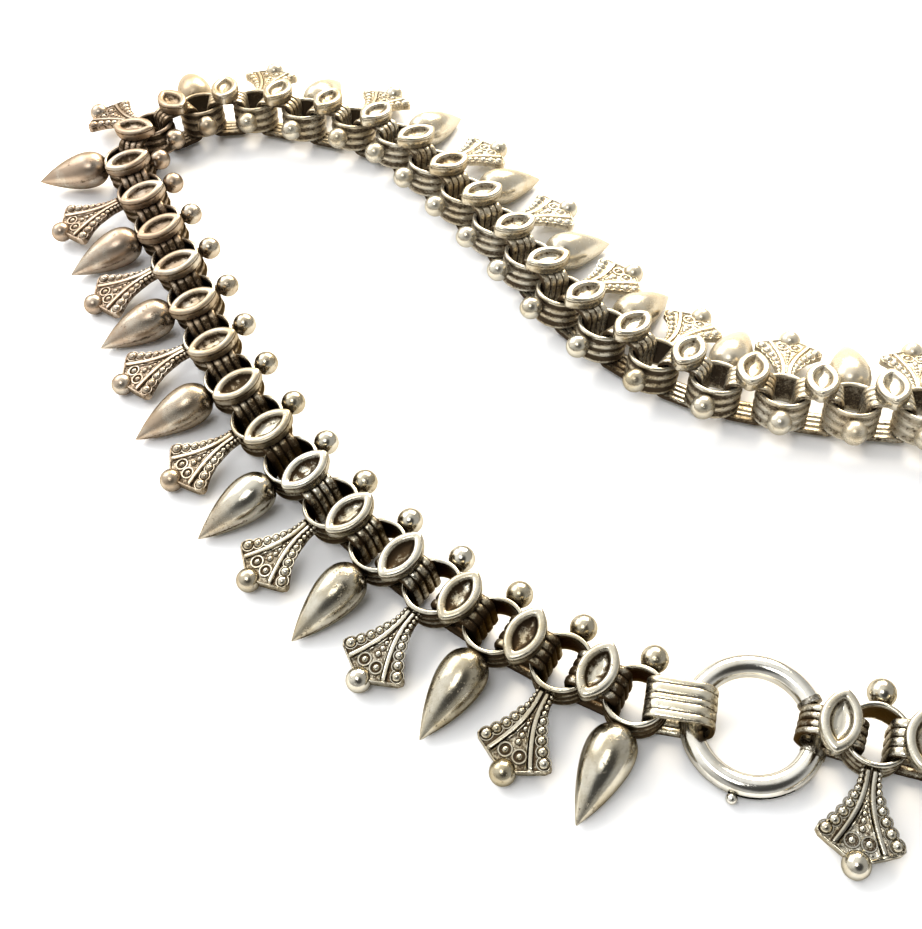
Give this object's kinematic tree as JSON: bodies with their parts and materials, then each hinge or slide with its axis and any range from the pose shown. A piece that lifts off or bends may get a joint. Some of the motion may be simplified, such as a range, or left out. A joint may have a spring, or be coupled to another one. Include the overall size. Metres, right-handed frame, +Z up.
{
  "type": "collar necklace",
  "caption": "Antique silver collar necklace of reeded rings with pointed and fan drops, joined by marquise strap links, closed by a bolt ring and lying flat.",
  "frame": {"origin": "middle of the necklace's outline, on the surface that it lies on", "axes": "+Z up from the surface, +X along the loop's longest extent, the bolt ring towards -Y"},
  "size_m": [0.1816, 0.1728, 0.0103],
  "materials": {
    "ring_silver": "antique silver, polished high spots, dark patina in the recesses",
    "strap_silver": "antique silver, bright collet rims, speckled dark patina in the bowls",
    "bolt_silver": "polished silver with fine scratches"
  },
  "bodies": {
    "necklace": {"pointed_link_01": "ring_silver", "fan_link_02": "ring_silver", "pointed_link_03": "ring_silver", "fan_link_04": "ring_silver", "pointed_link_05": "ring_silver", "fan_link_06": "ring_silver", "pointed_link_07": "ring_silver", "fan_link_08": "ring_silver", "pointed_link_09": "ring_silver", "fan_link_10": "ring_silver", "pointed_link_11": "ring_silver", "fan_link_12": "ring_silver", "pointed_link_13": "ring_silver", "fan_link_14": "ring_silver", "pointed_link_15": "ring_silver", "fan_link_16": "ring_silver", "pointed_link_17": "ring_silver", "fan_link_18": "ring_silver", "pointed_link_19": "ring_silver", "fan_link_20": "ring_silver", "pointed_link_21": "ring_silver", "fan_link_22": "ring_silver", "pointed_link_23": "ring_silver", "fan_link_24": "ring_silver", "pointed_link_25": "ring_silver", "fan_link_26": "ring_silver", "pointed_link_27": "ring_silver", "fan_link_28": "ring_silver", "pointed_link_29": "ring_silver", "fan_link_30": "ring_silver", "pointed_link_31": "ring_silver", "fan_link_32": "ring_silver", "pointed_link_33": "ring_silver", "fan_link_34": "ring_silver", "pointed_link_35": "ring_silver", "fan_link_36": "ring_silver", "pointed_link_37": "ring_silver", "fan_link_38": "ring_silver", "pointed_link_39": "ring_silver", "fan_link_40": "ring_silver", "pointed_link_41": "ring_silver", "fan_link_42": "ring_silver", "marquise_links_left": "strap_silver", "marquise_links_right": "strap_silver", "end_strap": "strap_silver", "bolt_ring_case": "bolt_silver"},
    "tongue": {"bolt_ring_tongue": "bolt_silver"}
  },
  "joints": [
    {"name": "tongue_slide", "type": "hinge", "parent": "necklace", "child": "tongue", "pos_m": [0.01555, -0.06244, 0.00289], "axis": [-0.0438, -0.168, 0.9848], "range_deg": [0, 44], "stiffness_Nm_per_rad": 0.004, "springref_deg": -11.46}
  ]
}
